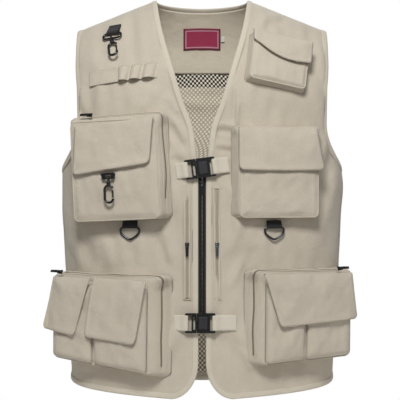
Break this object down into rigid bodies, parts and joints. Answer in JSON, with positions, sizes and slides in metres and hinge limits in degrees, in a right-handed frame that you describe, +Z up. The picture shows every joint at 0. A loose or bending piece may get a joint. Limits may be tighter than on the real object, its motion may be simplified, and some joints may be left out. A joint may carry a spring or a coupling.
{
  "type": "fishing vest",
  "caption": "Sleeveless V-neck fishing vest worn over the torso; zipped bags, flapped pockets, tool loops and clips carry tackle, and a zip and side-release buckles close its front.",
  "frame": {"origin": "midway between the two points where the shoulder seams meet the neck, where the vest rests on its wearer", "axes": "+Z up, the front faces -Y, +X is the wearer's left"},
  "size_m": [0.4972, 0.2622, 0.6415],
  "materials": {
    "shell_cloth": "stone khaki plain-weave polyester-cotton, matt",
    "binding_cloth": "folded twill binding tape, cream",
    "mesh_cloth": "knitted open mesh with round holes",
    "label_satin": "crimson woven satin, blank but for a border",
    "cream_webbing": "25 mm flat polyester strap, stitched",
    "black_webbing": "black nylon webbing",
    "zip_tape": "black woven tape with a nylon coil",
    "beige_zip_tape": "beige woven tape with a beige nylon coil",
    "black_plastic": "moulded acetal, satin",
    "black_painted_metal": "zinc casting, black enamel",
    "gunmetal": "nickel-plated wire, polished"
  },
  "bodies": {
    "root": {"left_front_panel": "shell_cloth", "right_front_panel": "shell_cloth", "back_panel": "shell_cloth", "back_yoke": "shell_cloth", "back_mesh_lining": "mesh_cloth", "edge_binding": "binding_cloth", "left_armhole_binding": "binding_cloth", "right_armhole_binding": "binding_cloth", "woven_label": "label_satin", "right_chest_bag": "shell_cloth", "pocket_clip_tab": "black_webbing", "left_chest_pocket": "shell_cloth", "left_top_pocket": "shell_cloth", "right_cargo_bag": "shell_cloth", "left_cargo_bag": "shell_cloth", "left_zip_tape": "zip_tape", "right_zip_tape": "zip_tape", "right_welt_zip_tape": "beige_zip_tape", "left_welt_zip_tape": "beige_zip_tape", "upper_buckle_female": "black_plastic", "upper_left_webbing": "cream_webbing", "upper_right_webbing": "cream_webbing", "lower_buckle_female": "black_plastic", "lower_left_webbing": "cream_webbing", "lower_right_webbing": "cream_webbing", "tool_loop_strip": "shell_cloth", "right_d_ring_tab": "black_webbing", "left_d_ring_tab": "black_webbing", "shoulder_clip_tab": "black_webbing"},
    "main_zip_slider": {"main_zip_slider": "black_painted_metal"},
    "main_zip_pull": {"main_zip_pull": "black_painted_metal"},
    "right_welt_zip_slider": {"right_welt_zip_slider": "black_painted_metal"},
    "right_welt_zip_pull": {"right_welt_zip_pull": "black_painted_metal"},
    "left_welt_zip_slider": {"left_welt_zip_slider": "gunmetal"},
    "left_welt_zip_pull": {"left_welt_zip_pull": "gunmetal"},
    "right_chest_bag_slider": {"right_chest_bag_slider": "black_painted_metal"},
    "right_chest_bag_pull": {"right_chest_bag_pull": "black_painted_metal"},
    "right_cargo_bag_slider": {"right_cargo_bag_slider": "black_painted_metal"},
    "right_cargo_bag_pull": {"right_cargo_bag_pull": "black_painted_metal"},
    "left_cargo_bag_slider": {"left_cargo_bag_slider": "black_painted_metal"},
    "left_cargo_bag_pull": {"left_cargo_bag_pull": "black_painted_metal"},
    "right_chest_bag_flap": {"right_chest_bag_flap": "shell_cloth"},
    "left_chest_pocket_flap": {"left_chest_pocket_flap": "shell_cloth"},
    "left_top_pocket_flap": {"left_top_pocket_flap": "shell_cloth"},
    "right_cargo_outer_flap": {"right_cargo_outer_flap": "shell_cloth"},
    "right_cargo_inner_flap": {"right_cargo_inner_flap": "shell_cloth"},
    "left_cargo_flap": {"left_cargo_flap": "shell_cloth"},
    "right_d_ring": {"right_d_ring": "gunmetal"},
    "left_d_ring": {"left_d_ring": "gunmetal"},
    "shoulder_clip_ring": {"shoulder_clip_ring": "gunmetal"},
    "shoulder_clip_hook": {"shoulder_clip_hook": "black_painted_metal"},
    "shoulder_clip_gate": {"shoulder_clip_gate": "black_painted_metal"},
    "pocket_clip_hook": {"pocket_clip_hook": "black_painted_metal"},
    "pocket_clip_gate": {"pocket_clip_gate": "black_painted_metal"},
    "upper_buckle_male": {"upper_buckle_male": "black_plastic"},
    "upper_buckle_prong_top": {"upper_buckle_prong_top": "black_plastic"},
    "upper_buckle_prong_bottom": {"upper_buckle_prong_bottom": "black_plastic"},
    "lower_buckle_male": {"lower_buckle_male": "black_plastic"},
    "lower_buckle_prong_top": {"lower_buckle_prong_top": "black_plastic"},
    "lower_buckle_prong_bottom": {"lower_buckle_prong_bottom": "black_plastic"}
  },
  "joints": [
    {"name": "main_zip_slide", "type": "slide", "parent": "root", "child": "main_zip_slider", "axis": [0, 0, -1], "range_m": [0, 0.17]},
    {"name": "main_zip_pull_swing", "type": "hinge", "parent": "main_zip_slider", "child": "main_zip_pull", "pos_m": [0, -0.1218, -0.30025], "axis": [-1, 0, 0], "range_deg": [0, 120]},
    {"name": "right_welt_zip_slide", "type": "slide", "parent": "root", "child": "right_welt_zip_slider", "axis": [0, -0.0001, 1], "range_m": [-0.062, 0.078]},
    {"name": "right_welt_zip_pull_swing", "type": "hinge", "parent": "right_welt_zip_slider", "child": "right_welt_zip_pull", "pos_m": [-0.02362, -0.12309, -0.39725], "axis": [-0.9998, 0.0217, 0], "range_deg": [0, 150]},
    {"name": "left_welt_zip_slide", "type": "slide", "parent": "root", "child": "left_welt_zip_slider", "axis": [0, -0.0001, 1], "range_m": [-0.062, 0.078]},
    {"name": "left_welt_zip_pull_swing", "type": "hinge", "parent": "left_welt_zip_slider", "child": "left_welt_zip_pull", "pos_m": [0.02362, -0.12309, -0.39725], "axis": [-0.9998, -0.0217, 0], "range_deg": [0, 150]},
    {"name": "right_chest_bag_slide", "type": "slide", "parent": "root", "child": "right_chest_bag_slider", "axis": [0.9656, -0.2564, 0.0436], "range_m": [0, 0.1]},
    {"name": "right_chest_bag_pull_swing", "type": "hinge", "parent": "right_chest_bag_slider", "child": "right_chest_bag_pull", "pos_m": [-0.17521, -0.12069, -0.1936], "axis": [0.1127, 0.5635, 0.8184], "range_deg": [0, 150]},
    {"name": "right_cargo_bag_slide", "type": "slide", "parent": "root", "child": "right_cargo_bag_slider", "axis": [0.9327, -0.3601, -0.0175], "range_m": [0, 0.13]},
    {"name": "right_cargo_bag_pull_swing", "type": "hinge", "parent": "right_cargo_bag_slider", "child": "right_cargo_bag_pull", "pos_m": [-0.22406, -0.0983, -0.44095], "axis": [0.2153, 0.5176, 0.8281], "range_deg": [0, 150]},
    {"name": "left_cargo_bag_slide", "type": "slide", "parent": "root", "child": "left_cargo_bag_slider", "axis": [-0.9134, -0.4071, 0], "range_m": [0, 0.11]},
    {"name": "left_cargo_bag_pull_swing", "type": "hinge", "parent": "left_cargo_bag_slider", "child": "left_cargo_bag_pull", "pos_m": [0.21757, -0.09782, -0.4354], "axis": [0.2268, -0.5089, -0.8304], "range_deg": [0, 150]},
    {"name": "right_chest_bag_flap_lift", "type": "hinge", "parent": "root", "child": "right_chest_bag_flap", "pos_m": [-0.13788, -0.13406, -0.20652], "axis": [-0.9578, 0.2543, -0.1338], "range_deg": [0, 100]},
    {"name": "left_chest_pocket_flap_lift", "type": "hinge", "parent": "root", "child": "left_chest_pocket_flap", "pos_m": [0.11841, -0.12978, -0.21488], "axis": [-0.9762, -0.2171, 0], "range_deg": [0, 100]},
    {"name": "left_top_pocket_flap_lift", "type": "hinge", "parent": "root", "child": "left_top_pocket_flap", "pos_m": [0.12928, -0.09514, -0.06781], "axis": [-0.9544, -0.2233, 0.1979], "range_deg": [0, 100]},
    {"name": "right_cargo_outer_flap_lift", "type": "hinge", "parent": "root", "child": "right_cargo_outer_flap", "pos_m": [-0.20489, -0.10702, -0.44919], "axis": [-0.9327, 0.3601, 0.0175], "range_deg": [0, 100]},
    {"name": "right_cargo_inner_flap_lift", "type": "hinge", "parent": "root", "child": "right_cargo_inner_flap", "pos_m": [-0.12766, -0.13717, -0.45145], "axis": [-0.9324, 0.3597, 0.0352], "range_deg": [0, 100]},
    {"name": "left_cargo_flap_lift", "type": "hinge", "parent": "root", "child": "left_cargo_flap", "pos_m": [0.16642, -0.12194, -0.44292], "axis": [-0.9134, -0.4071, 0], "range_deg": [0, 100]},
    {"name": "right_d_ring_swing", "type": "hinge", "parent": "root", "child": "right_d_ring", "pos_m": [-0.11383, -0.11218, -0.37001], "axis": [-0.9772, 0.2125, 0], "range_deg": [0, 100]},
    {"name": "left_d_ring_swing", "type": "hinge", "parent": "root", "child": "left_d_ring", "pos_m": [0.11383, -0.11218, -0.37001], "axis": [-0.9772, -0.2125, 0], "range_deg": [0, 100]},
    {"name": "shoulder_ring_swing", "type": "hinge", "parent": "root", "child": "shoulder_clip_ring", "pos_m": [-0.14374, -0.06552, -0.06026], "axis": [-0.9235, 0.366, -0.1143], "range_deg": [0, 80]},
    {"name": "shoulder_clip_hook_swing", "type": "hinge", "parent": "shoulder_clip_ring", "child": "shoulder_clip_hook", "pos_m": [-0.14506, -0.07154, -0.06888], "axis": [-0.9235, 0.366, -0.1143], "range_deg": [0, 90]},
    {"name": "shoulder_clip_gate_press", "type": "hinge", "parent": "shoulder_clip_hook", "child": "shoulder_clip_gate", "pos_m": [-0.14166, -0.08444, -0.08339], "axis": [0.3627, 0.7369, -0.5704], "range_deg": [0, 28], "stiffness_Nm_per_rad": 0.02, "springref_deg": -11.46},
    {"name": "pocket_clip_hook_swing", "type": "hinge", "parent": "root", "child": "pocket_clip_hook", "pos_m": [-0.14635, -0.13801, -0.29436], "axis": [-0.9656, 0.2564, -0.0436], "range_deg": [0, 90]},
    {"name": "pocket_clip_gate_press", "type": "hinge", "parent": "pocket_clip_hook", "child": "pocket_clip_gate", "pos_m": [-0.13958, -0.13981, -0.31278], "axis": [0.2566, 0.9665, 0], "range_deg": [0, 28], "stiffness_Nm_per_rad": 0.02, "springref_deg": -11.46},
    {"name": "upper_buckle_release", "type": "slide", "parent": "root", "child": "upper_buckle_male", "axis": [-0.9914, 0, -0.1305], "range_m": [0, 0.018], "deforming": ["upper_buckle_prong_top", "upper_buckle_prong_bottom", "upper_right_webbing"]},
    {"name": "upper_prong_top_squeeze", "type": "hinge", "parent": "upper_buckle_male", "child": "upper_buckle_prong_top", "pos_m": [-0.00982, -0.1235, -0.26836], "axis": [0, 1, 0], "range_deg": [0, 12], "stiffness_Nm_per_rad": 0.05, "springref_deg": -5.73},
    {"name": "upper_prong_bottom_squeeze", "type": "hinge", "parent": "upper_buckle_male", "child": "upper_buckle_prong_bottom", "pos_m": [-0.00709, -0.1235, -0.28908], "axis": [0, -1, 0], "range_deg": [0, 12], "stiffness_Nm_per_rad": 0.05, "springref_deg": -5.73},
    {"name": "lower_buckle_release", "type": "slide", "parent": "root", "child": "lower_buckle_male", "axis": [-1, 0, 0], "range_m": [0, 0.018], "deforming": ["lower_buckle_prong_top", "lower_buckle_prong_bottom", "lower_right_webbing"]},
    {"name": "lower_prong_top_squeeze", "type": "hinge", "parent": "lower_buckle_male", "child": "lower_buckle_prong_top", "pos_m": [-0.0085, -0.1235, -0.51055], "axis": [0, 1, 0], "range_deg": [0, 12], "stiffness_Nm_per_rad": 0.05, "springref_deg": -5.73},
    {"name": "lower_prong_bottom_squeeze", "type": "hinge", "parent": "lower_buckle_male", "child": "lower_buckle_prong_bottom", "pos_m": [-0.0085, -0.1235, -0.53145], "axis": [0, -1, 0], "range_deg": [0, 12], "stiffness_Nm_per_rad": 0.05, "springref_deg": -5.73}
  ]
}
